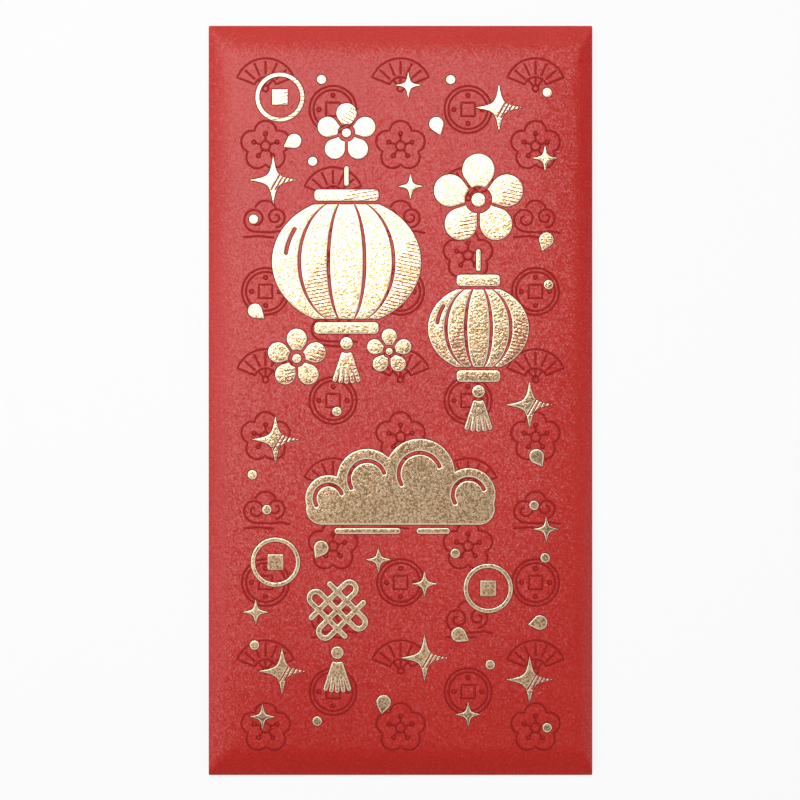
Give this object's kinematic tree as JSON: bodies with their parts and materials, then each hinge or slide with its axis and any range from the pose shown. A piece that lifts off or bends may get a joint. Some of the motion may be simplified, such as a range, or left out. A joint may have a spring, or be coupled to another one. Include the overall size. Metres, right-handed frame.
{
  "type": "red envelope",
  "caption": "Long upright gift-money envelope in pearly red paper, with gold-foil festive motifs on its front, glued side and bottom seams and a folding flap over its mouth.",
  "frame": {"origin": "middle of the footprint, on the surface that the envelope lies on with its front up", "axes": "+X to the right of the printed front, +Y up the front to the mouth and flap, +Z out of the printed front"},
  "size_m": [0.088, 0.172, 0.0026],
  "materials": {
    "red_paper": "pearlescent coated card",
    "seam_glue": "dried clear paper glue",
    "gold_foil": "hot-stamped gold foil"
  },
  "bodies": {
    "pocket": {"front_panel": "red_paper", "left_roll": "red_paper", "right_roll": "red_paper", "top_roll": "red_paper", "bottom_roll": "red_paper", "left_crease": "red_paper", "right_crease": "red_paper", "bottom_crease": "red_paper", "back_panel": "red_paper", "side_seam_tab": "red_paper", "bottom_flap": "red_paper", "flap_crease": "red_paper", "side_seam_glue": "seam_glue", "bottom_seam_glue": "seam_glue", "foil_large_lantern": "gold_foil", "foil_small_lantern": "gold_foil", "foil_lantern_caps": "gold_foil", "foil_lantern_cords": "gold_foil", "foil_tassels": "gold_foil", "foil_large_blossom": "gold_foil", "foil_medium_blossoms": "gold_foil", "foil_small_blossom": "gold_foil", "foil_blossom_stamens": "gold_foil", "foil_cloud": "gold_foil", "foil_wind_lines": "gold_foil", "foil_knot": "gold_foil", "foil_coins": "gold_foil", "foil_large_sparkles": "gold_foil", "foil_small_sparkles": "gold_foil", "foil_falling_petals": "gold_foil", "foil_dots": "gold_foil"},
    "flap": {"closing_flap": "red_paper"}
  },
  "joints": [
    {"name": "flap_fold", "type": "hinge", "parent": "pocket", "child": "flap", "pos_m": [0, 0.08555, 0.00045], "axis": [1, 0, 0], "range_deg": [0, 180], "deforming": ["flap_crease"]}
  ]
}
